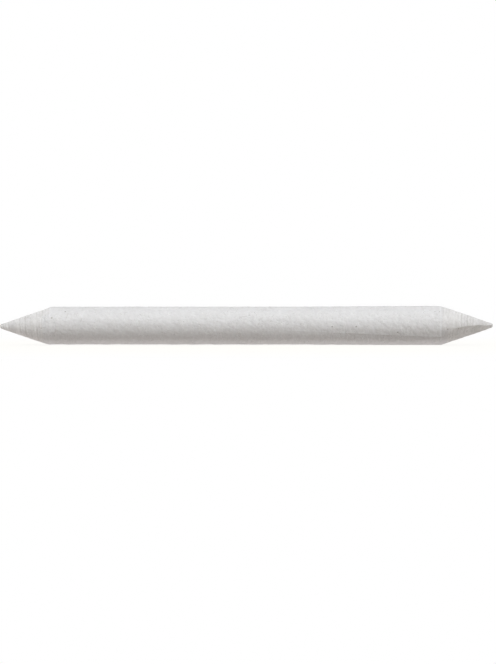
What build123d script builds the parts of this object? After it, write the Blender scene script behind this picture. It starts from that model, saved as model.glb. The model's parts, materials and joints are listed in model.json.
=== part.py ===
from build123d import *
import os
from math import cos, radians, sin

# A double-ended blending stump: soft felt paper wound into a tight roll, pasted and sanded to a
# point at both ends. It lies along X on the XY plane. All sizes are in millimetres and degrees.

overall_length = 140.0
barrel_diameter = 11.0
left_point_length = 14.1
right_point_length = 14.6
left_tip_radius = 0.70
right_tip_radius = 0.62
tip_rounding = 0.20  # both blunt tips have a softened rim

core_radius = 0.40  # start of the winding: the tight starter roll
winding_turns = 8  # whole turns between the starter roll and the cover sheet
ply_sweep = 320  # each ply goes not quite round, so that its ends never meet on one line
lap_width = 24  # overlap of the cover sheet on itself
lap_direction = 205  # where its free edge lies, from +Y towards +Z
lap_edge = 0.08  # thickness left on the sanded free edge
paste_film = 0.05  # paste under the lap
paste_lead = 8  # the film starts a little before the overlap
seam_gap = 1.5  # open groove along the free edge
ring_step = 0.12  # the sanded plies end at slightly different lengths

radius = barrel_diameter / 2
half_length = overall_length / 2
winding = 360 * winding_turns
ply_count = winding // ply_sweep
free_edge = winding + 360 + lap_width - seam_gap

# One sheet thickness is what is left between the starter roll and the free edge. The spiral is
# drawn with half turns about two centres, a quarter of a thickness either side of the axis.
sheet = (radius - lap_edge - paste_film - core_radius) / (winding_turns + 1 - 1 / 4)

roll_axis = Axis((0, 0, radius), (1, 0, 0))
axial_plane = Plane(origin=(0, 0, radius), x_dir=(1, 0, 0), z_dir=(0, -1, 0))
turned = radians(lap_direction - lap_width + seam_gap)
end_plane = Plane(origin=(-half_length, 0, radius), x_dir=(0, cos(turned), sin(turned)), z_dir=(1, 0, 0))


def spiral(start, end, outward=0.0):
    """Draws the spiral between two winding angles, moved outward, and gives its half-turn arcs."""
    arcs = []
    for half_turn in range(start // 180, -int(-end // 180)):
        centre = sheet / 4 if half_turn % 2 else -sheet / 4
        first = max(start, 180 * half_turn)
        sweep = min(end, 180 * (half_turn + 1)) - first
        arc_radius = core_radius + half_turn * sheet / 2 + outward
        arcs.append(CenterArc((centre, 0), arc_radius, first % 360, sweep))
    return arcs


def strip(start, end, thickness, outward=0.0):
    """Draws the closed outline of a strip of the spiral between two winding angles."""
    inner = spiral(start, end, outward)
    outer = spiral(start, end, outward + thickness)
    Line(inner[0] @ 0, outer[0] @ 0)
    Line(inner[-1] @ 1, outer[-1] @ 1)


def sanded_shape(set_back):
    """The whole solid outline of the stump, its two points moved in along the axis by set_back."""
    clear = radius + 1.0  # the cones run on past the barrel, so that only they cut a sheet
    left_slope = (radius - left_tip_radius) / left_point_length
    right_slope = (radius - right_tip_radius) / right_point_length
    left_end = -half_length + set_back
    right_end = half_length - set_back
    with BuildPart() as shape:
        with BuildSketch(axial_plane):
            with BuildLine():
                outline = FilletPolyline(
                    (left_end, 0),
                    (left_end, left_tip_radius),
                    (left_end + (clear - left_tip_radius) / left_slope, clear),
                    (right_end - (clear - right_tip_radius) / right_slope, clear),
                    (right_end, right_tip_radius),
                    (right_end, 0),
                    radius=tip_rounding,
                )
                Line(outline @ 1, outline @ 0)
            make_face()
        revolve(axis=roll_axis)
    return shape.part


os.makedirs("parts", exist_ok=True)

# The sanded plies end at three slightly different lengths, which leaves rings on the points.
longest, shorter, shortest = [sanded_shape(ring_step * step) for step in range(3)]

# The starter roll runs from tip to tip, and its two ends are the blunt tips.
with BuildPart() as core_roll:
    with BuildSketch(end_plane):
        with BuildLine():
            rim = spiral(0, 360)
            Line(rim[-1] @ 1, rim[0] @ 0)
        make_face()
    extrude(amount=overall_length)
    add(longest, mode=Mode.INTERSECT)

core_roll.part.label = "core_roll"
export_step(core_roll.part, "parts/core_roll.step")

# Plies of felt paper, fed one after another into the same spiral.
for number in range(1, ply_count + 1):
    with BuildPart() as felt_ply:
        with BuildSketch(end_plane):
            with BuildLine():
                strip(ply_sweep * (number - 1), ply_sweep * number, sheet)
            make_face()
        extrude(amount=overall_length)
        add([longest, shorter, shortest][number % 3], mode=Mode.INTERSECT)

    felt_ply.part.label = f"felt_ply_{number:02d}"
    export_step(felt_ply.part, f"parts/{felt_ply.part.label}.step")

# The cover sheet starts under its own lap, goes once round and thins out to its free edge.
# Its outside is sanded to a true cylinder, so the sheet is thinnest at that edge.
with BuildPart() as cover_sheet:
    with BuildSketch(end_plane):
        with BuildLine():
            inside = spiral(winding, winding + 360 - paste_lead)
            under_lap = spiral(winding + 360 - paste_lead, free_edge, paste_film)
            start_of_sheet = spiral(winding + 360, winding + 360 + lap_width)
            outside = CenterArc((0, 0), radius, lap_width, 360 - seam_gap)
            Line(inside[0] @ 0, start_of_sheet[0] @ 0)
            Line(inside[-1] @ 1, under_lap[0] @ 0)
            Line(under_lap[-1] @ 1, outside @ 1)
            Line(start_of_sheet[-1] @ 1, outside @ 0)
        make_face()
    extrude(amount=overall_length)
    add(longest, mode=Mode.INTERSECT)

cover_sheet.part.label = "cover_sheet"
export_step(cover_sheet.part, "parts/cover_sheet.step")

# The film of paste that holds the lap down.
with BuildPart() as lap_paste:
    with BuildSketch(end_plane):
        with BuildLine():
            strip(winding + 360 - paste_lead, free_edge, paste_film)
        make_face()
    extrude(amount=overall_length)
    add(shorter, mode=Mode.INTERSECT)

lap_paste.part.label = "lap_paste"
export_step(lap_paste.part, "parts/lap_paste.step")
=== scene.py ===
import itertools
import json
import math

import bpy
import numpy as np
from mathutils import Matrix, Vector


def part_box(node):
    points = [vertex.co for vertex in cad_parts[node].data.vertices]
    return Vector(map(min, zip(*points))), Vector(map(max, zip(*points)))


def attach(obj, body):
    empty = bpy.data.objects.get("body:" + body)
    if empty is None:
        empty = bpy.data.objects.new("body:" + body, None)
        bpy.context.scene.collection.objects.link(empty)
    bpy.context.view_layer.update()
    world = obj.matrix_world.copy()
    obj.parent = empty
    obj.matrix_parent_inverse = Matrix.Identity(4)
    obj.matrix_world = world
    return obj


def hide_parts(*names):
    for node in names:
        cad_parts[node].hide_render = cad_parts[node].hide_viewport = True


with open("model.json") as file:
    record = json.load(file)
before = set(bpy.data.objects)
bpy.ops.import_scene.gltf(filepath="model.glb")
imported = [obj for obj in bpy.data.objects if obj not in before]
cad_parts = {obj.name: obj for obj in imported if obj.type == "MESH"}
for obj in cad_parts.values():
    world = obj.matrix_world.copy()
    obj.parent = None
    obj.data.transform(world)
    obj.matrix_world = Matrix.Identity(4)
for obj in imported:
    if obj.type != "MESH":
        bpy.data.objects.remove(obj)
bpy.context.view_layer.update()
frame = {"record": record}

mm = 0.001
sharpDegrees = 50  # faces that meet more sharply than this keep a crisp edge

# The roll is wound as in the CAD model. Lengths are in millimetres, turns in degrees of winding.
roll = {
    "plies": 9,
    "plySweep": 320,
    "coreRadius": 0.40,
    "lapWidth": 24,
    "lapEdge": 0.08,
    "paste": 0.05,
    "pasteLead": 8,
    "seamGap": 1.5,
    "point": {"left": 14.1, "right": 14.9},
    "tip": {"left": 0.58, "right": 0.52},
    "bulge": {"left": 0.02, "right": 0.09},  # how far each point swells half way along
    "sag": 0.25,  # the left point hangs a little low of the middle
    "sagFrom": 11.5,  # millimetres behind its tip
    "sagTo": 15.5,
    "tipRound": 0.22,
    "shoulder": {"below": 0.10, "above": 0.45},  # how far the corner behind each point is rubbed round
    "girth": {"left": -0.12, "right": 0.07},  # wound by hand, so a little thicker towards the right
    "girthFrom": 12,
    "girthTo": 45,
    "edgeAngle": 206,  # the free edge at skewFrom, from +Y towards +Z
    "skew": 0.47,  # the sheet was fed in slightly askew: degrees per millimetre
    "skewFrom": 36,
}

barrel = frame["record"]["mounts"][0]
rollRadius = barrel["dims"]["r_mm"]
coreLow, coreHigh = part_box("core_roll")
coverLow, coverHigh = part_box("cover_sheet")
halfLength = (coreHigh.x - coreLow.x) / 2 / mm
axisHeight = (coverHigh.z + coverLow.z) / 2 / mm
winding = roll["plies"] * roll["plySweep"]
sheet = (rollRadius - roll["lapEdge"] - roll["paste"] - roll["coreRadius"]) / (winding / 360 + 0.75)


# smooth noise in blobs of the given size, from -1 to 1, for any array of points
def softNoise(points, size, seed):
    lattice = np.random.default_rng(seed).uniform(-1, 1, (32, 32, 32))
    cell = points / size
    base = np.floor(cell).astype(int)
    part = cell - base
    part = part * part * (3 - 2 * part)
    total = 0
    for corner in itertools.product((0, 1), repeat=3):
        share = np.where(corner, part, 1 - part).prod(axis=-1)
        at = (base + corner) % 32
        total = total + share * lattice[at[..., 0], at[..., 1], at[..., 2]]
    return total


def ease(low, high, value):
    t = np.clip((value - low) / (high - low), 0, 1)
    return t * t * (3 - 2 * t)


def bump(distance, width):
    return np.exp(-(distance / width) ** 2)


# where the winding lies in the section: the spiral is half turns about two centres
def windingPoint(angle, outward):
    halfTurn = np.floor(angle / 180 + 1e-9)
    centre = np.where(halfTurn % 2 == 0, -sheet / 4, sheet / 4)
    reach = roll["coreRadius"] + halfTurn * sheet / 2 + outward
    turn = np.radians(angle)
    return centre + reach * np.cos(turn), reach * np.sin(turn)


def startTurn(x):
    skewed = roll["edgeAngle"] - roll["skew"] * (roll["skewFrom"] - x)
    return np.radians(skewed - roll["lapWidth"] + roll["seamGap"])


# a place on the winding as distance from the axis and direction from +Y towards +Z
def polar(angle, outward, x):
    u, v = windingPoint(angle, outward)
    return np.hypot(u, v), np.arctan2(v, u) + startTurn(x)


# length of paper from the start of the winding, so that a pattern runs on along the sheet
def paperLength(angle):
    turn = np.radians(angle)
    return roll["coreRadius"] * turn + sheet * turn ** 2 / (4 * math.pi)


def place(x, rho, direction):
    girth = roll["girth"]
    grown = girth["left"] + (girth["right"] - girth["left"]) * ease(roll["girthFrom"], roll["girthTo"], x)
    rho = rho * (1 + grown / rollRadius)
    middle = axisHeight - roll["sag"] * (1 - ease(roll["sagFrom"], roll["sagTo"], x + halfLength))
    x, y, z = np.broadcast_arrays(x, rho * np.cos(direction), middle + rho * np.sin(direction))
    return np.stack([x, y, z], axis=-1)


# The right point has been used: its lower front is rubbed to a flat, which ends in a crisp edge above.
wear = {
    "side": "right",
    "from": 14.6,  # millimetres behind the tip where the flat starts
    "full": 8.0,
    "upper": ((1, 0), (3.5, -6), (6, -1), (8, 2), (10.5, 8), (13, 11)),  # depth, degrees below forward
    "lower": 88,
    "share": 0.95,
    "firstGuess": 8.0,  # the depth on the point is found in a few passes
    "passes": {"left": 1, "right": 6},
    "shoulderPasses": 4,
}


# radius of each sanded point behind its tip, before it meets the barrel
def coneTable(side):
    depth = np.concatenate([np.linspace(0, 0.5, 60), np.linspace(0.52, 22, 1200)])
    tip = roll["tip"][side]
    share = depth / roll["point"][side]
    cone = tip + (rollRadius - tip) * share + roll["bulge"][side] * np.sin(math.pi * np.clip(share, 0, 1))
    near = np.clip(depth / roll["tipRound"], 0, 1)
    return depth, cone - roll["tipRound"] * (1 - np.sqrt(1 - (1 - near) ** 2))


# the point's radius held within the barrel, with the corner between them rubbed round
def shoulder(reach, direction):
    high = 0.5 + 0.5 * np.sin(direction)
    held = 0
    for key, share in (("below", 1 - high), ("above", high)):
        width = roll["shoulder"][key]
        blend = np.clip(1 - np.abs(reach - rollRadius) / width, 0, 1)
        held = held + share * (np.minimum(reach, rollRadius) - blend * blend * width / 4)
    return held


cones = {side: coneTable(side) for side in ("left", "right")}


# share of the round radius that is left where the point is rubbed flat
def wornShare(depth, direction):
    along = 1 - ease(wear["full"], wear["from"], depth)
    below = np.degrees(direction) % 360 - 180
    upper = np.interp(depth, *zip(*wear["upper"]))
    middle = (upper + wear["lower"]) / 2
    half = (wear["lower"] - upper) / 2
    off = np.clip(np.abs(below - middle), 0, half)
    chord = np.cos(np.radians(half)) / np.cos(np.radians(off))
    return 1 - along * wear["share"] * (1 - chord)


# how far behind the tip the sanded outline has a given radius
def tipDepth(side, rho, direction):
    depths, radii = cones[side]
    rho, direction = np.broadcast_arrays(rho, direction)
    depth = wear["firstGuess"] + 0 * rho
    for _ in range(wear["passes"][side]):
        full = rho / wornShare(depth, direction) if side == wear["side"] else rho
        reach = full
        for _ in range(wear["shoulderPasses"]):
            reach = reach + full - shoulder(reach, direction)
        depth = np.interp(reach, radii, depths)
    return depth


# radius of the sanded outline at any x and direction
def outlineRadius(x, direction):
    found = rollRadius + 0 * x
    for side in ("left", "right"):
        depths, radii = cones[side]
        depth = halfLength + (x if side == "left" else -x)
        radius = shoulder(np.interp(depth, depths, radii), direction)
        if side == wear["side"]:
            radius = radius * wornShare(depth, direction)
        found = np.minimum(found, radius)
    return found


def endX(side, depth):
    return (depth - halfLength) if side == "left" else (halfLength - depth)


def gridFaces(rows, cols):
    number = np.arange(rows * cols).reshape(rows, cols)
    beside = np.roll(number, -1, axis=1)
    return np.stack([number[:-1], beside[:-1], beside[1:], number[1:]], axis=-1).reshape(-1, 4).tolist()


# closes the end of a strip, whose rim runs out along its upper side and back along its lower side
def stripCap(upper, lower, along, flip):
    faces = []
    i = j = 0
    while i < len(upper) - 1 or j < len(lower) - 1:
        goUpper = j == len(lower) - 1
        if not goUpper and i < len(upper) - 1:
            goUpper = along[upper[i + 1]] < along[lower[j + 1]]
        if goUpper:
            face = (upper[i], upper[i + 1], lower[j])
            i += 1
        else:
            face = (upper[i], lower[j + 1], lower[j])
            j += 1
        if len(set(face)) == 3:
            faces.append(face[::-1] if flip else face)
    return faces


# tone is how pale the paper is there, with the painted shade and highlights at the ply joints and the seam
# added in, and sheetPlace is where the point lies in the flat sheet
def makePiece(name, points, faces, material, nodes, tone, sheetPlace):
    mesh = bpy.data.meshes.new(name)
    mesh.from_pydata((points.reshape(-1, 3) * mm).tolist(), [], faces)
    mesh.validate()
    mesh.polygons.foreach_set("use_smooth", np.ones(len(mesh.polygons), dtype=bool))
    mesh.set_sharp_from_angle(angle=math.radians(sharpDegrees))
    layer = mesh.attributes.new("tone", "FLOAT", "POINT")
    layer.data.foreach_set("value", np.asarray(tone, dtype=np.float32).ravel())
    layer = mesh.attributes.new("sheetPlace", "FLOAT_VECTOR", "POINT")
    layer.data.foreach_set("vector", np.asarray(sheetPlace, dtype=np.float32).ravel())
    mesh.materials.append(material)
    piece = bpy.data.objects.new(name, mesh)
    bpy.context.collection.objects.link(piece)
    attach(piece, "root")
    if nodes:
        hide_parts(*nodes)
    print(name, "has", len(mesh.polygons), "faces")


def fromHex(code):
    parts = [int(code[i:i + 2], 16) / 255 for i in (1, 3, 5)]
    return tuple(c / 12.92 if c <= 0.04045 else ((c + 0.055) / 1.055) ** 2.4 for c in parts) + (1,)


# adds a node with its settings; an input takes a value or a link, and one output is handed back
def addNode(tree, kind, inputs=None, output=None, **settings):
    node = tree.nodes.new(kind)
    for key, value in settings.items():
        setattr(node, key, value)
    for key, value in (inputs or {}).items():
        if isinstance(value, bpy.types.NodeSocket):
            tree.links.new(value, node.inputs[key])
        else:
            node.inputs[key].default_value = value
    if output:
        return node.outputs[output]
    return next((socket for socket in node.outputs if socket.enabled), None)


# thin curved strands: the lines where a smooth noise passes its middle, kept only in patches
def strands(tree, vector, size, width, patch, seed):
    wave = addNode(tree, "ShaderNodeTexNoise", noise_dimensions="4D", inputs={
        "Vector": vector, "W": seed, "Scale": 1 / size, "Detail": 1.0, "Roughness": 0.4})
    middle = addNode(tree, "ShaderNodeMath", {0: wave, 1: 0.5}, operation="SUBTRACT")
    level = addNode(tree, "ShaderNodeMath", {0: middle}, operation="ABSOLUTE")
    line = addNode(tree, "ShaderNodeMapRange", interpolation_type="SMOOTHSTEP", inputs={
        "Value": level, "From Min": 0.0, "From Max": width, "To Min": 1.0, "To Max": 0.0})
    cover = addNode(tree, "ShaderNodeTexNoise", noise_dimensions="4D", inputs={
        "Vector": vector, "W": seed + 5, "Scale": 1.2 / size, "Detail": 1.0})
    where = addNode(tree, "ShaderNodeMapRange", interpolation_type="SMOOTHSTEP", inputs={
        "Value": cover, "From Min": patch, "From Max": patch + 0.06})
    return addNode(tree, "ShaderNodeMath", {0: line, 1: where}, operation="MULTIPLY")


# Felt paper is a soft unsized sheet of short pulp and rag fibres, couched wet, pasted and rolled tight.
# It is fully matt and pale grey, clouded where the pulp lay thicker, with stray fibres in its face.
felt = {
    "paleFibre": "#f0f0ef",
    "darkFibre": "#8b8883",
    "specular": 0.25,
    "ior": 1.5,
    "roughness": (0.86, 0.98),  # pressed spots and loose felt
    "sheen": 0.12,  # the nap of loose fibre ends
    "sheenRoughness": 0.6,
    "detail": {"cloud": 2.0, "mottle": 2.0, "grain": 1.0},
    "rise": {"mottle": 2.4, "grain": 0.8},  # how far the blobs lift the face
    "pressed": (0.030, 0.53, 3),  # strands: width of the line, how far apart the patches, seed
    "fine": (0.040, 0.50, 17),
    "stray": (0.020, 0.58, 29),
    "pressedRise": 0.4,
    "fineRise": 0.15,
    "fineTone": 0.7,  # beside the pressed strands
    "strayLonger": 1.2,
    "roughFrom": 0.3,  # height either way at which the face is fully smooth or loose
}
pressedFace = {
    "stretch": (1, 1, 1),
    "cloud": (7.0, 0.55),  # size of the blobs in millimetres, and how much they change the tone
    "mottle": (1.3, 0.8),
    "grain": (0.80, 0.5),  # flocs of pulp; the single fibres are finer than a render shows
    "strandMm": 1.7,
    "fineStrandMm": 1.0,
    "strandTone": 0.30,
    "strayTone": 0.25,
    "bumpMm": 0.18,
}
sandedEdge = {  # cut across the sheet, so the flocs lie in thin layers along the rings
    "stretch": (0.8, 0.8, 2.2),
    "cloud": (5.0, 0.4),
    "mottle": (1.0, 1.3),
    "grain": (0.42, 1.0),
    "strandMm": 1.0,
    "fineStrandMm": 0.6,
    "strandTone": 0.30,
    "strayTone": 0.22,
    "bumpMm": 0.10,
}


def feltPaper(name, face, pale, deep):
    material = bpy.data.materials.new(name)
    material.use_nodes = True
    tree = material.node_tree
    tree.nodes.clear()
    sheetPlace = addNode(tree, "ShaderNodeAttribute", output="Vector", attribute_name="sheetPlace")
    vector = addNode(tree, "ShaderNodeVectorMath", {0: sheetPlace, 1: face["stretch"]},
                     operation="MULTIPLY")
    tone = addNode(tree, "ShaderNodeAttribute", output="Fac", attribute_name="tone")
    tone = addNode(tree, "ShaderNodeMath", {0: tone, 1: 0.5}, operation="ADD")
    height = 0.0
    for key, detail in felt["detail"].items():
        size, gain = face[key]
        noise = addNode(tree, "ShaderNodeTexNoise", noise_dimensions="4D", inputs={
            "Vector": vector, "W": size * 10, "Scale": 1 / size, "Detail": detail, "Roughness": 0.55})
        even = addNode(tree, "ShaderNodeMath", {0: noise, 1: 0.5}, operation="SUBTRACT")
        tone = addNode(tree, "ShaderNodeMath", {0: even, 1: gain, 2: tone}, operation="MULTIPLY_ADD")
        if key in felt["rise"]:
            height = addNode(tree, "ShaderNodeMath", {0: even, 1: felt["rise"][key], 2: height},
                             operation="MULTIPLY_ADD")
    pressed = strands(tree, vector, face["strandMm"], *felt["pressed"])
    fine = strands(tree, vector, face["fineStrandMm"], *felt["fine"])
    stray = strands(tree, vector, face["strandMm"] * felt["strayLonger"], *felt["stray"])
    height = addNode(tree, "ShaderNodeMath", {0: pressed, 1: felt["pressedRise"], 2: height},
                     operation="MULTIPLY_ADD")
    height = addNode(tree, "ShaderNodeMath", {0: fine, 1: felt["fineRise"], 2: height},
                     operation="MULTIPLY_ADD")

    tone = addNode(tree, "ShaderNodeClamp", {"Value": tone})
    colour = addNode(tree, "ShaderNodeMix", {0: tone, 6: fromHex(deep), 7: fromHex(pale)}, data_type="RGBA")
    light = addNode(tree, "ShaderNodeMath", {0: fine, 1: felt["fineTone"]}, operation="MULTIPLY")
    light = addNode(tree, "ShaderNodeMath", {0: light, 1: pressed}, operation="MAXIMUM")
    light = addNode(tree, "ShaderNodeMath", {0: light, 1: face["strandTone"]}, operation="MULTIPLY")
    colour = addNode(tree, "ShaderNodeMix", {0: light, 6: colour, 7: fromHex(felt["paleFibre"])},
                     data_type="RGBA")
    dark = addNode(tree, "ShaderNodeMath", {0: stray, 1: face["strayTone"]}, operation="MULTIPLY")
    colour = addNode(tree, "ShaderNodeMix", {0: dark, 6: colour, 7: fromHex(felt["darkFibre"])},
                     data_type="RGBA")

    smooth, loose = felt["roughness"]
    roughness = addNode(tree, "ShaderNodeMapRange", inputs={
        "Value": height, "From Min": -felt["roughFrom"], "From Max": felt["roughFrom"],
        "To Min": loose, "To Max": smooth})
    normal = addNode(tree, "ShaderNodeBump", {"Height": height, "Distance": face["bumpMm"] * mm})
    shader = addNode(tree, "ShaderNodeBsdfPrincipled", {
        "Base Color": colour, "Roughness": roughness, "Normal": normal, "IOR": felt["ior"],
        "Specular IOR Level": felt["specular"], "Sheen Weight": felt["sheen"],
        "Sheen Roughness": felt["sheenRoughness"]})
    addNode(tree, "ShaderNodeOutputMaterial", {"Surface": shader})
    return material


coverFelt = feltPaper("felt paper, rolled and pressed", pressedFace, "#dfdfdf", "#cecdcc")
paleCut = feltPaper("felt paper, sanded edge, pale", sandedEdge, "#e4e3e2", "#cecdca")
greyCut = feltPaper("felt paper, sanded edge, grey", sandedEdge, "#dfdedd", "#c8c7c4")
pasteFilm = feltPaper("starch paste, dried in felt", sandedEdge, "#cfccc5", "#b5b1a8")
print("paper materials made")


# The sheet's face is pressed flat by rolling, but never quite even.
relief = {
    "blobs": ((9.0, 0.012, 5), (2.2, 0.030, 6), (1.3, 0.034, 7)),  # size, height, seed
    "sunk": 0.02,
    "seamFrom": 2,  # the free edge shows towards the right, and is pressed flush on the left
    "seamFull": 28,
    "seamLeast": 0.05,
    "lip": (0.045, 0.30),  # height and width of the edge, which has lifted
    "valley": (0.030, 0.75, 0.30),  # depth, how far back from the edge, width
    "dip": (0.04, 0.7),  # depth and width below the edge
    "creases": ((2.7, 47, 18, 0.012), (28.3, 1, 15, 0.014)),  # x, degrees above forward, reach, depth
    "creaseWidth": 0.30,
}


def seamShow(x):
    least = relief["seamLeast"]
    return least + (1 - least) * ease(relief["seamFrom"], relief["seamFull"], x)


# height of the face above the true cylinder; past is the arc in mm beyond the free edge
def faceRelief(x, direction, past):
    at = place(x, rollRadius, direction)
    height = 0 * at[..., 0] - relief["sunk"]
    for size, tall, seed in relief["blobs"]:
        height = height + tall * softNoise(at, size, seed)
    above = (360 - np.degrees(direction)) % 360 - 180
    for middle, angle, reach, depth in relief["creases"]:
        height = height - depth * bump(x - middle, relief["creaseWidth"]) * bump(above - angle, reach)
    lipUp, lipWide = relief["lip"]
    valleyDown, valleyBack, valleyWide = relief["valley"]
    dipDown, dipWide = relief["dip"]
    edge = lipUp * bump(past, lipWide) - valleyDown * bump(past + valleyBack, valleyWide)
    return height + seamShow(x) * np.where(past <= 0, edge, -dipDown * bump(past, dipWide))


# The cut edges are sanded by hand, so they are rough and a little wavy.
sanding = {
    "middle": 0.05,
    "grit": ((0.8, 0.06, 21), (0.36, 0.04, 22)),  # size, height, seed
    "wave": (2.6, 0.06, 23),
}


# how far a cut edge is set back along the axis
def sandedBack(points, base):
    rough = 0
    for size, tall, seed in sanding["grit"]:
        rough = rough + tall * softNoise(points, size, seed)
    size, tall, seed = sanding["wave"]
    return np.maximum(0, base + sanding["middle"] + rough + tall * softNoise(points, size, seed))


# The cover sheet is the outermost turn, from under its own lap round to its free edge.
cover = {
    "stepDeg": 2.0,
    "lineMm": 0.27,
    "endMm": 0.12,
    "endZone": 3.2,
    "underAt": (0, 6, 12, 18, 22.6),
    "lapRows": 16,
    "innerLines": (0.02, 0.2, 0.4, 0.6, 0.8, 0.98),
    "hair": 0.02,
    "gap": (0.7, 0.8),  # the groove along the free edge, in degrees: place and half width
    "edgeReach": 3,  # millimetres either side of the free edge where it shapes the face
    "calm": 1.2,  # the face evens out this far from each shoulder
    "ragged": (0.3, 1.6),  # its sanded ends are uneven from the shoulder in to here
    "shoulderLine": {"left": 0.25, "right": 0.60},  # rubbed shoulders are paler
    "shoulderPlace": 0.15,
    "shoulderWidth": 0.24,
    "shoulderPatches": (0.8, 0.9, 2.5, 32),  # even share, patchy share, size, seed
    "cutFrom": (0.1, 0.5),
    "shoulderCut": {"left": 0.15, "right": -0.10},  # and their cut edges each have a tone
    # painted shadow in the groove under the free edge, and a painted highlight along the edge itself: the
    # two tones, then the highlight's place and width
    "seamPaintedShadow": -0.5,
    "seamPaintedHighlight": 0.35,
    "seamPlace": 0.1,
    "seamWidth": 0.22,
}


def makeCover():
    hair = cover["hair"]
    lapStart = winding + roll["lapWidth"]
    filmStart = winding + 360 - roll["pasteLead"]
    freeEdge = winding + 360 + roll["lapWidth"] - roll["seamGap"]
    angles = np.concatenate([
        winding + np.array(cover["underAt"]),
        [lapStart - hair],
        np.arange(lapStart + hair, filmStart - hair, cover["stepDeg"]),
        [filmStart - hair],
        np.linspace(filmStart + hair, freeEdge, cover["lapRows"]),
    ])
    isUnder = (angles < lapStart)[:, None]
    gapPlace, gapHalf = cover["gap"]
    inGap = (np.abs(angles - lapStart + gapPlace) < gapHalf)[:, None]
    film = np.where(angles > filmStart, roll["paste"], 0.0)

    innerRho, _ = polar(angles, film, 0.0)
    total = 2 * halfLength - roll["point"]["left"] - roll["point"]["right"]
    zone = cover["endZone"]
    ends = np.arange(0, zone, cover["endMm"])
    between = np.arange(zone, total - zone, cover["lineMm"])
    runs = np.concatenate([ends, between, total - ends[::-1]]) / total
    reach = {}
    for side in ("left", "right"):
        direction = np.radians(angles) + startTurn(endX(side, roll["point"][side]))
        reach[side] = endX(side, tipDepth(side, innerRho, direction))[:, None]
    x = reach["left"] + (reach["right"] - reach["left"]) * runs

    direction = np.radians(angles)[:, None] + startTurn(x)
    past = np.radians((angles - lapStart)[:, None]) * rollRadius + 0 * x
    fromFree = np.radians((angles - freeEdge)[:, None]) * rollRadius + 0 * x
    past = np.where(np.abs(fromFree) < cover["edgeReach"], fromFree, past)
    outward = np.minimum(x - x[:, :1], x[:, -1:] - x)
    uneven = faceRelief(x, direction, past) * ease(0, cover["calm"], outward)
    face = outlineRadius(x, direction) + uneven
    tongueRho, tongueDirection = polar(angles[:, None], sheet, x)
    tongueRho = np.minimum(tongueRho, outlineRadius(x, direction))
    flush = np.where(inGap, 1 - seamShow(x), 0)
    rho = np.where(isUnder, tongueRho + (face - tongueRho) * flush, face)
    direction = np.where(isUnder, tongueDirection, direction)
    edgeRho, edgeDirection = polar(angles[:, None], film[:, None], x)
    rho[:, 0], rho[:, -1] = edgeRho[:, 0], edgeRho[:, -1]
    direction[:, 0], direction[:, -1] = edgeDirection[:, 0], edgeDirection[:, -1]
    ragged = sandedBack(place(x, rho, direction), 0.0) * (1 - ease(*cover["ragged"], outward))
    xOut = x - np.sign(x) * ragged
    outer = place(xOut, rho, direction)

    inner = []
    for share in cover["innerLines"]:
        xIn = xOut[:, 0] + (xOut[:, -1] - xOut[:, 0]) * share
        inner.append(place(xIn, *polar(angles, film, xIn)))
    inner = np.stack(inner, axis=1)
    loop = np.concatenate([outer, inner[:, ::-1]], axis=1)
    rows, cols = loop.shape[:2]
    outCount = outer.shape[1]
    faces = gridFaces(rows, cols)
    for row in (0, rows - 1):
        start = row * cols
        upper = list(range(start, start + outCount))
        lower = [start] + list(range(start + cols - 1, start + outCount - 1, -1)) + [start + outCount - 1]
        faces += stripCap(upper, lower, loop[..., 0].ravel(), row == 0)

    tone = np.zeros((rows, cols))
    shown = tone[:, :outCount]
    evenShare, patchyShare, patchMm, patchSeed = cover["shoulderPatches"]
    patches = np.maximum(0, evenShare + patchyShare * softNoise(outer, patchMm, patchSeed))
    for side in ("left", "right"):
        beyond = x - endX(side, roll["point"][side])
        beyond = beyond if side == "right" else -beyond
        line = bump(beyond + cover["shoulderPlace"], cover["shoulderWidth"])
        shown += cover["shoulderLine"][side] * line * patches
        shown += cover["shoulderCut"][side] * ease(*cover["cutFrom"], beyond)
    # a painted highlight along the free edge, and painted shadow on the sheet under it, seen in the groove
    edgePaintedHighlight = cover["seamPaintedHighlight"] * bump(fromFree + cover["seamPlace"], cover["seamWidth"])
    shown += seamShow(x) * np.where(isUnder, cover["seamPaintedShadow"], edgePaintedHighlight)
    flat = np.stack([loop[..., 0], paperLength(angles)[:, None] + 0 * tone, 0 * tone], axis=-1)
    makePiece("coverSheet", loop, faces, coverFelt, ["cover_sheet"], tone, flat)


makeCover()


# Each ply ends on both points in a ring, sanded across the sheet.
ply = {
    "stepDeg": 1.5,
    "acrossRows": 20,
    "innerLines": (0.01, 0.25, 0.5, 0.75, 0.99),
    "setBack": (0.0, 0.04, 0.02, 0.05, 0.01, 0.03),  # the plies end unevenly, one after another
    "tones": (0.0, 0.06, 0.02, 0.06, -0.10, 0.08, 0.02, -0.04, 0.10),
    "gap": (-0.45, 0.08),  # painted shade in the groove at the joint between two plies: tone, and its width from either side
    "rim": (0.35, 0.14, 0.08),  # a painted highlight on the lifted edge beside the joint: tone, place, width
    "patches": (0.6, 1.1, 2.2, 31),  # both come and go: even share, patchy share, size, seed
    "groove": 0.08,  # how far the joint is sanded back along the axis
    "rubbedTone": -0.55,  # the rubbed flat on the lower front is coloured darker
    "rubbedFull": 0.08,
    "passes": 3,
}
paste = {
    "setBack": 0.3,
    "tone": 0.0,
}


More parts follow.
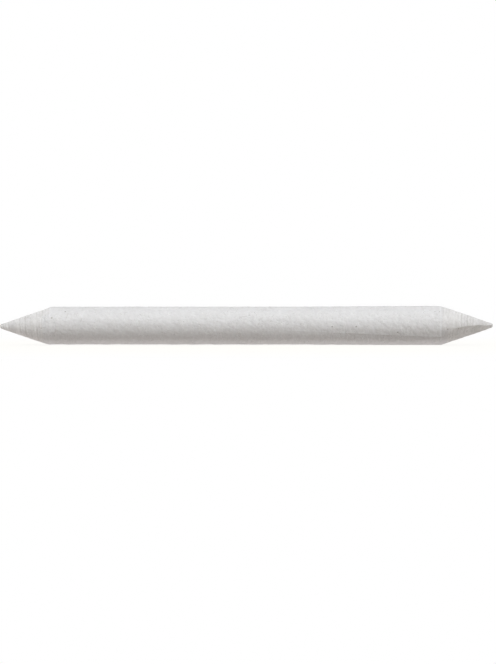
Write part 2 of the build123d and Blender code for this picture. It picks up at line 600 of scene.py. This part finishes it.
def makeStrip(name, start, end, thickness, base, tone, material, node):
    angles = np.linspace(start, end, max(8, int((end - start) / ply["stepDeg"])))
    across = np.linspace(0, 1, ply["acrossRows"])
    border = np.minimum(across, 1 - across) * thickness
    jointPaintedShade, gapWidth = ply["gap"]
    rimPaintedHighlight, rimPlace, rimWidth = ply["rim"]
    # painted shade at each joint between plies, with a painted highlight beside it
    lines = jointPaintedShade * bump(border, gapWidth) + rimPaintedHighlight * bump(border - rimPlace, rimWidth)
    evenShare, patchyShare, patchMm, patchSeed = ply["patches"]
    cut = {}
    shade = {}
    for side in ("left", "right"):
        rho, direction = polar(angles[:, None], across * thickness, 0.0)
        for _ in range(ply["passes"]):
            x = endX(side, tipDepth(side, rho, direction))
            rho, direction = polar(angles[:, None], across * thickness, x)
        at = place(x, rho, direction)
        patches = np.maximum(0, evenShare + patchyShare * softNoise(at, patchMm, patchSeed))
        back = sandedBack(at, base) + ply["groove"] * bump(border, gapWidth)
        cut[side] = place(x + (back if side == "left" else -back), rho, direction)
        shade[side] = tone + lines * patches
        if side == wear["side"]:
            rubbed = 1 - wornShare(tipDepth(side, rho, direction), direction)
            shade[side] += ply["rubbedTone"] * ease(0.0, ply["rubbedFull"], rubbed)
    left, right = cut["left"], cut["right"][:, ::-1]
    runs = {}
    for key, outward, first, last in (("outer", thickness, left[:, -1], right[:, 0]),
                                      ("inner", 0.0, left[:, 0], right[:, -1])):
        run = []
        for share in ply["innerLines"]:
            x = first[:, 0] + (last[:, 0] - first[:, 0]) * share
            run.append(place(x, *polar(angles, outward, x)))
        runs[key] = np.stack(run, axis=1)
    loop = np.concatenate([left, runs["outer"], right, runs["inner"][:, ::-1]], axis=1)
    rows, cols = loop.shape[:2]
    upCount = cols - len(ply["innerLines"])
    faces = gridFaces(rows, cols)
    for row in (0, rows - 1):
        begin = row * cols
        upper = list(range(begin, begin + upCount))
        lower = [begin] + list(range(begin + cols - 1, begin + upCount - 1, -1)) + [begin + upCount - 1]
        faces += stripCap(upper, lower, loop[..., 0].ravel(), row == 0)
    hidden = np.full((rows, len(ply["innerLines"])), tone)
    tones = np.concatenate([shade["left"], hidden, shade["right"][:, ::-1], hidden], axis=1)
    flush = np.zeros(len(ply["innerLines"]))
    through = np.concatenate([across, flush + 1, across[::-1], flush]) * thickness
    flat = np.stack([loop[..., 0], paperLength(angles)[:, None] + 0 * tones, through + 0 * tones], axis=-1)
    makePiece(name, loop, faces, material, [node], tones, flat)


for number in range(1, roll["plies"] + 1):
    makeStrip(
        f"feltPly{number:02d}", roll["plySweep"] * (number - 1), roll["plySweep"] * number, sheet,
        ply["setBack"][number % len(ply["setBack"])], ply["tones"][number - 1],
        greyCut if number % 3 == 0 else paleCut, f"felt_ply_{number:02d}",
    )
makeStrip(
    "lapPaste", winding + 360 - roll["pasteLead"], winding + 360 + roll["lapWidth"] - roll["seamGap"],
    roll["paste"], paste["setBack"], paste["tone"], pasteFilm, "lap_paste",
)
print("plies made")


# The starter roll is the tight middle of the winding, and its two ends are the blunt tips.
core = {
    "stepDeg": 5,
    "rampDeg": 8,  # the first edge of the sheet is pressed down to a short slope
    "rings": 20,
    "turnMm": 0.18,  # its own tighter winding, which shows as a fine groove
    "grooveMm": 0.02,
    "hollow": (0.10, 0.16),  # depth and width of the drawn-in middle, where the winding needle was
    "bodyLines": (0.02, 0.2, 0.4, 0.6, 0.8, 0.98),
    "rough": (0.2, 0.7),  # the tip is smooth in the middle and sanded rough from here out
    "roughShare": 0.5,
    "tone": -0.1,
}


def makeCore():
    angles = np.arange(0, 360, core["stepDeg"])
    rim, turned = polar(angles, 0.0, 0.0)
    turned = turned - startTurn(0)
    step = roll["coreRadius"] + sheet
    rim = rim + (step - rim) * (1 - ease(0, core["rampDeg"], angles))
    shares = np.sqrt(np.linspace(0, 1, core["rings"] + 1)[1:])
    hollowDeep, hollowWide = core["hollow"]
    ends = {}
    for side in ("left", "right"):
        rho = rim[:, None] * shares
        direction = turned[:, None] + startTurn(endX(side, 0))
        x = endX(side, tipDepth(side, rho, direction))
        turns = rho / core["turnMm"] - angles[:, None] / 360
        back = core["grooveMm"] * (0.5 - 0.5 * np.cos(2 * math.pi * turns))
        back = back + hollowDeep * bump(rho, hollowWide)
        rough = core["roughShare"] * sandedBack(place(x, rho, direction), 0.0)
        back = back + rough * ease(*core["rough"], rho)
        ends[side] = place(x + (back if side == "left" else -back), rho, direction)
    run = []
    for share in core["bodyLines"]:
        x = ends["left"][:, -1, 0] + (ends["right"][:, -1, 0] - ends["left"][:, -1, 0]) * share
        run.append(place(x, rim, turned + startTurn(x)))
    body = np.concatenate([ends["left"], np.stack(run, axis=1), ends["right"][:, ::-1]], axis=1)
    body = body.transpose(1, 0, 2)
    rows, cols = body.shape[:2]
    faces = gridFaces(rows, cols)
    leftPole, rightPole = rows * cols, rows * cols + 1
    for i in range(cols):
        beside = (i + 1) % cols
        faces.append((leftPole, beside, i))
        faces.append((rightPole, (rows - 1) * cols + i, (rows - 1) * cols + beside))
    poles = [place(endX(side, hollowDeep), 0.0, 0.0)[None] for side in ("left", "right")]
    points = np.concatenate([body.reshape(-1, 3)] + poles)
    makePiece("coreRoll", points, faces, greyCut, ["core_roll"],
              np.full(len(points), core["tone"]), points)


makeCore()


farFromSeam = 9.0  # millimetres past the free edge, where it no longer shapes the face
barrelSlack = 0.05

# Single fibres lie in the face of the cover sheet, and a few longer ones have lifted.
fibres = {
    "length": (0.9, 3.2),
    "thick": 0.020,
    "thickSpread": (0.6, 1.3),
    "bend": 1.3,
    "wave": 0.5,
    "waves": 7,
    "parts": 8,
    "flatten": 0.6,
    "taper": 0.6,
    "sink": 2.2,  # in thicknesses, at both ends
    "lift": {"laid": 0.3, "lifted": 0.4},  # in thicknesses
    "liftedWave": 0.2,
    "endClear": 1.5,  # millimetres kept free at the tips
    "pointReach": 11,  # how far out on the points they lie
    "pointShorter": 0.5,
    "pointSpread": 0.3,  # sanding laid the fibres on the points along the rings
    "pointSunk": -0.04,
    "patchesPerMm": 1.1,  # each fibre is paler and darker along its length
    "roughness": 0.8,
    "ior": 1.53,  # cellulose
    "specular": 0.3,
    "sheen": 0.1,
    "colours": {"pale": ("#ececea", "#d4d3d0"), "grey": ("#b4b1ab", "#8f8c86")},
    "barrelCount": {"pale": 900, "grey": 240},
    "pointCount": {"pale": 220, "grey": 40},
    "lifted": (  # x, degrees above forward, length, heading in degrees, bend, thickness
        (-14.4, 10, 2.6, 30, 1.5, 0.05),
        (-9.0, -20, 3.0, 160, -1.8, 0.05),
        (27.7, -27, 2.4, 20, 1.6, 0.055),
        (30.8, -28, 2.2, 10, -1.4, 0.055),
        (36.5, -37, 2.4, 25, 1.7, 0.055),
    ),
}


def fibreMaterial(name, pale, deep):
    material = bpy.data.materials.new(name)
    material.use_nodes = True
    tree = material.node_tree
    tree.nodes.clear()
    sheetPlace = addNode(tree, "ShaderNodeAttribute", output="Vector", attribute_name="sheetPlace")
    noise = addNode(tree, "ShaderNodeTexNoise", {
        "Vector": sheetPlace, "Scale": fibres["patchesPerMm"], "Detail": 2.0})
    share = addNode(tree, "ShaderNodeMapRange", {"Value": noise, "From Min": 0.35, "From Max": 0.65})
    colour = addNode(tree, "ShaderNodeMix", {0: share, 6: fromHex(deep), 7: fromHex(pale)},
                     data_type="RGBA")
    shader = addNode(tree, "ShaderNodeBsdfPrincipled", {
        "Base Color": colour, "Roughness": fibres["roughness"], "IOR": fibres["ior"],
        "Specular IOR Level": fibres["specular"], "Sheen Weight": fibres["sheen"]})
    addNode(tree, "ShaderNodeOutputMaterial", {"Surface": shader})
    return material


# one fibre: a bent, flattened strand that follows the surface and sinks in at both ends
def fibreStrand(x, direction, length, heading, bend, wave, thick, lift):
    steps = np.linspace(-0.5, 0.5, fibres["parts"] + 1)
    turn = heading + bend * steps + wave * np.sin(steps * fibres["waves"])
    along = np.concatenate([[0], np.cumsum(np.cos(turn[1:]))]) * length / fibres["parts"]
    around = np.concatenate([[0], np.cumsum(np.sin(turn[1:]))]) * length / fibres["parts"]
    x = np.clip(x + along, fibres["endClear"] - halfLength, halfLength - fibres["endClear"])
    local = np.maximum(outlineRadius(x, direction + 0 * x), 1.0)
    direction = direction + around / local
    sink = thick * fibres["sink"] * (np.abs(steps) * 2) ** 4
    onBarrel = outlineRadius(x, direction) > rollRadius - barrelSlack
    rise = np.where(onBarrel, faceRelief(x, direction, farFromSeam), fibres["pointSunk"])
    centre = place(x, outlineRadius(x, direction) + rise + lift - sink, direction)
    outward = np.stack([0 * x, np.cos(direction), np.sin(direction)], axis=-1)
    tangent = np.gradient(centre, axis=0)
    across = np.cross(tangent, outward)
    across /= np.linalg.norm(across, axis=1, keepdims=True) + 1e-9
    width = (thick * (1 - fibres["taper"] * (np.abs(steps) * 2) ** 3))[:, None]
    rise = width * fibres["flatten"]
    return np.stack([centre + across * width, centre + outward * rise,
                     centre - across * width, centre - outward * rise], axis=1)


def makeFibres(kind, seed):
    rng = np.random.default_rng(seed)
    shortest, longest = fibres["length"]
    barrelEnd = halfLength - roll["point"]["right"]
    found = []
    for zone in ["barrel"] * fibres["barrelCount"][kind] + ["point"] * fibres["pointCount"][kind]:
        length = rng.uniform(shortest, longest) * (1.0 if zone == "barrel" else fibres["pointShorter"])
        heading = rng.uniform(0, 2 * math.pi)
        bend = rng.normal(0, fibres["bend"])
        wave = rng.normal(0, fibres["wave"])
        thick = fibres["thick"] * rng.uniform(*fibres["thickSpread"])
        x = rng.uniform(-barrelEnd, barrelEnd)
        if zone == "point":
            x = np.sign(x) * (barrelEnd + abs(x) / barrelEnd * fibres["pointReach"])
            heading = math.pi / 2 + fibres["pointSpread"] * math.sin(heading)
        direction = rng.uniform(0, 2 * math.pi)
        lift = thick * fibres["lift"]["laid"]
        found.append(fibreStrand(x, direction, length, heading, bend, wave, thick, lift))
    if kind == "pale":
        for x, above, length, heading, bend, thick in fibres["lifted"]:
            found.append(fibreStrand(x, math.radians(180 - above), length, math.radians(heading), bend,
                                     fibres["liftedWave"], thick, thick * fibres["lift"]["lifted"]))
    faces = []
    ring = 4 * (fibres["parts"] + 1)
    quads = np.array(gridFaces(fibres["parts"] + 1, 4))
    for number in range(len(found)):
        first = number * ring
        last = first + 4 * fibres["parts"]
        faces += (quads + first).tolist()
        faces += [[first + 3, first + 2, first + 1, first], [last, last + 1, last + 2, last + 3]]
    points = np.concatenate(found).reshape(-1, 3)
    material = fibreMaterial(f"{kind} rag fibre", *fibres["colours"][kind])
    makePiece(f"{kind}Fibres", points, faces, material, [],
              np.zeros(len(points)), points)


makeFibres("pale", 101)
makeFibres("grey", 202)


# Flecks of bark and ink from the recycled pulp, pressed flush with the face.
flecks = {
    "colour": ("#9c9994", "#b4b1ac"),
    "spots": (  # x, degrees above forward, half length, half width
        (-51.3, 48, 0.26, 0.15),
        (-55.0, 25, 0.30, 0.20),
        (53.3, 46, 0.18, 0.10),
        (54.7, 46, 0.24, 0.14),
        (31.0, -2, 0.28, 0.18),
        (42.7, -19, 0.26, 0.17),
        (24.2, -2, 0.22, 0.16),
        (56.9, -11, 0.24, 0.18),
        (60.0, -12, 0.22, 0.18),
    ),
    "strayCount": 45,
    "straySize": (0.04, 0.10),
    "strayLonger": 1.3,
    "ragged": 0.22,  # as a share of its size
    "around": 12,
    "rings": 3,
    "dome": 0.018,
    "above": 1.2,  # in domes
    "below": 1.5,
    "pointSunk": -0.03,
    "barrelSunk": -0.02,
    "seed": 303,
}


def makeFlecks():
    rng = np.random.default_rng(flecks["seed"])
    spots = [(x, math.radians(180 - above), long, wide) for x, above, long, wide in flecks["spots"]]
    barrelEnd = halfLength - roll["point"]["right"]
    for _ in range(flecks["strayCount"]):
        size = rng.uniform(*flecks["straySize"])
        x, direction = rng.uniform(-barrelEnd, barrelEnd), rng.uniform(0, 2 * math.pi)
        spots.append((x, direction, size * flecks["strayLonger"], size))
    turn = np.linspace(0, 2 * math.pi, flecks["around"], endpoint=False)
    points, faces = [], []
    for x, direction, long, wide in spots:
        edge = 1 + rng.uniform(-flecks["ragged"], flecks["ragged"], flecks["around"])
        first = len(points) * (flecks["around"] * flecks["rings"] * 2 + 2)
        fleck = []
        for under in (False, True):
            for ring in range(flecks["rings"], 0, -1):
                share = ring / flecks["rings"]
                alongX = x + long * share * edge * np.cos(turn)
                aside = wide * share * edge * np.sin(turn)
                local = direction + aside / max(2.0, outlineRadius(x, direction))
                onBarrel = outlineRadius(alongX, local) > rollRadius - barrelSlack
                rise = np.where(onBarrel, faceRelief(alongX, local, farFromSeam), flecks["pointSunk"])
                rise = rise + flecks["dome"] * (-flecks["below"] if under else flecks["above"] - share ** 2)
                fleck.append(place(alongX, outlineRadius(alongX, local) + rise, local))
        sunk = flecks["barrelSunk"] if abs(x) < barrelEnd else flecks["pointSunk"]
        base = outlineRadius(x, direction) + sunk
        fleck += [place(x, base + flecks["above"] * flecks["dome"], direction)[None],
                  place(x, base - flecks["below"] * flecks["dome"], direction)[None]]
        points.append(np.concatenate(fleck))
        around = flecks["around"]
        topCentre = first + 2 * flecks["rings"] * around
        for i in range(around):
            beside = (i + 1) % around
            for ring in range(flecks["rings"] - 1):
                a, b = first + ring * around, first + (ring + 1) * around
                faces.append((a + beside, a + i, b + i, b + beside))
                c, d = a + flecks["rings"] * around, b + flecks["rings"] * around
                faces.append((c + i, c + beside, d + beside, d + i))
            inner = first + (flecks["rings"] - 1) * around
            faces.append((inner + beside, inner + i, topCentre))
            inner += flecks["rings"] * around
            faces.append((inner + i, inner + beside, topCentre + 1))
            rimTop, rimUnder = first, first + flecks["rings"] * around
            faces.append((rimTop + i, rimTop + beside, rimUnder + beside, rimUnder + i))
    points = np.concatenate(points)
    material = fibreMaterial("bark fleck in pulp", *flecks["colour"][::-1])
    makePiece("barkFlecks", points, faces, material, [], np.zeros(len(points)), points)


makeFlecks()
print("fibres and flecks made")


# The stage is a pale opal light table under soft light. What the eye sees of it is kept apart from
# the light that it gives, because the roll shades the table beside itself.
stage = {
    "floorSize": 6.0,
    "glowNear": 0.80,  # how much of the table's white is its own light, beside the roll and far away
    "glowFar": 1.0,
    "glowFrom": 0.02,
    "glowTo": 0.15,
    "face": (0.99, 0.95, 0.78),  # and the warm cast of the rest, which the roll shades
    "under": (0.741, 0.700, 0.685),  # light sent up from beside the roll, a little warm
    "beside": (0.316, 0.277, 0.241),
    "beyond": (3.27, 3.31, 3.34),
    "underReach": 5.6,  # millimetres either side of the roll's line
    "besideReach": 31.5,
    "lens": 150.0,
    "sensor": 36.0,
    "across": 141.02,  # millimetres of the axis plane in view
    "upright": 62 / 83,  # the frame's width to its height; the sensor's width lies along its height
    "aside": 0.43,  # millimetres to the right of the roll's middle
    "lift": 1.0,  # degrees above level
    "axisBelowTop": 0.4903,  # where the axis lies, as a share of the frame's height
    "lampDistance": 1.5,
    "lampLength": 2.25,
    "lampColour": (0.985, 0.985, 1.0),
    "lamps": {  # degrees round from straight forward, width, watts
        "front softbox": (50, 0.56, 16.2),
        "overhead softbox": (90, 0.75, 9.2),
        "rear softbox": (140, 0.56, 11.2),
    },
    "seenWhite": 1.0,
    "roomLight": 0.08,
}


def makeFloor():
    half = stage["floorSize"] / 2
    mesh = bpy.data.meshes.new("floor")
    corners = [(-half, -half, 0), (half, -half, 0), (half, half, 0), (-half, half, 0)]
    mesh.from_pydata(corners, [], [(0, 1, 2, 3)])
    floor = bpy.data.objects.new("floor", mesh)
    bpy.context.collection.objects.link(floor)
    material = bpy.data.materials.new("opal acrylic light table")
    material.use_nodes = True
    tree = material.node_tree
    tree.nodes.clear()
    position = addNode(tree, "ShaderNodeNewGeometry", output="Position")
    y = addNode(tree, "ShaderNodeSeparateXYZ", {0: position}, output="Y")
    fromLine = addNode(tree, "ShaderNodeMath", {0: y}, operation="ABSOLUTE")
    isBeside = addNode(tree, "ShaderNodeMath", {0: fromLine, 1: stage["underReach"] * mm},
                       operation="GREATER_THAN")
    isBeyond = addNode(tree, "ShaderNodeMath", {0: fromLine, 1: stage["besideReach"] * mm},
                       operation="GREATER_THAN")
    near = addNode(tree, "ShaderNodeMix", data_type="RGBA", inputs={
        0: isBeside, 6: stage["under"] + (1,), 7: stage["beside"] + (1,)})
    light = addNode(tree, "ShaderNodeMix", {0: isBeyond, 6: near, 7: stage["beyond"] + (1,)},
                    data_type="RGBA")
    given = addNode(tree, "ShaderNodeEmission", {"Color": light})
    distance = addNode(tree, "ShaderNodeVectorMath", {0: position}, output="Value", operation="LENGTH")
    share = addNode(tree, "ShaderNodeMapRange", interpolation_type="SMOOTHSTEP", inputs={
        "Value": distance, "From Min": stage["glowFrom"], "From Max": stage["glowTo"],
        "To Min": stage["glowNear"], "To Max": stage["glowFar"]})
    glow = addNode(tree, "ShaderNodeEmission", {"Color": (1, 1, 1, 1)})
    face = addNode(tree, "ShaderNodeBsdfDiffuse", {"Color": stage["face"] + (1,)})
    seen = addNode(tree, "ShaderNodeMixShader", {0: share, 1: face, 2: glow})
    toEye = addNode(tree, "ShaderNodeLightPath", output="Is Camera Ray")
    both = addNode(tree, "ShaderNodeMixShader", {0: toEye, 1: given, 2: seen})
    addNode(tree, "ShaderNodeOutputMaterial", {"Surface": both})
    mesh.materials.append(material)


def makeCamera():
    camera = bpy.data.objects.new("camera", bpy.data.cameras.new("camera"))
    bpy.context.collection.objects.link(camera)
    camera.data.lens = stage["lens"]
    camera.data.sensor_width = stage["sensor"]
    distance = stage["across"] * mm / stage["upright"] / stage["sensor"] * stage["lens"]
    lift = math.radians(stage["lift"])
    camera.location = Vector((0, -math.cos(lift), math.sin(lift))) * distance
    camera.location += Vector((stage["aside"], 0, axisHeight)) * mm
    camera.rotation_euler = (math.radians(90) - lift, 0, 0)
    camera.data.shift_y = stage["axisBelowTop"] - 0.5
    camera.data.clip_start = 0.01
    camera.data.clip_end = 50
    bpy.context.scene.camera = camera


def makeLamp(name, degrees, width, watts):
    light = bpy.data.lights.new(name, "AREA")
    light.shape = "RECTANGLE"
    light.size, light.size_y = stage["lampLength"], width
    light.energy = watts
    light.color = stage["lampColour"]
    lamp = bpy.data.objects.new(name, light)
    bpy.context.collection.objects.link(lamp)
    turn = math.radians(degrees)
    lamp.location = Vector((0, -math.cos(turn), math.sin(turn))) * stage["lampDistance"]
    lamp.rotation_euler = (-lamp.location).to_track_quat("-Z", "Y").to_euler()


def makeWorld():
    world = bpy.data.worlds.new("studio")
    bpy.context.scene.world = world
    world.use_nodes = True
    tree = world.node_tree
    tree.nodes.clear()
    seen = addNode(tree, "ShaderNodeBackground", {"Color": (1, 1, 1, 1), "Strength": stage["seenWhite"]})
    given = addNode(tree, "ShaderNodeBackground", {"Color": (1, 1, 1, 1), "Strength": stage["roomLight"]})
    toEye = addNode(tree, "ShaderNodeLightPath", output="Is Camera Ray")
    both = addNode(tree, "ShaderNodeMixShader", {0: toEye, 1: given, 2: seen})
    addNode(tree, "ShaderNodeOutputWorld", {"Surface": both})


makeFloor()
makeCamera()
makeWorld()
for lampName, settings in stage["lamps"].items():
    makeLamp(lampName, *settings)
view = bpy.context.scene.view_settings
view.view_transform = "Standard"
view.look = "None"
print("stage made")
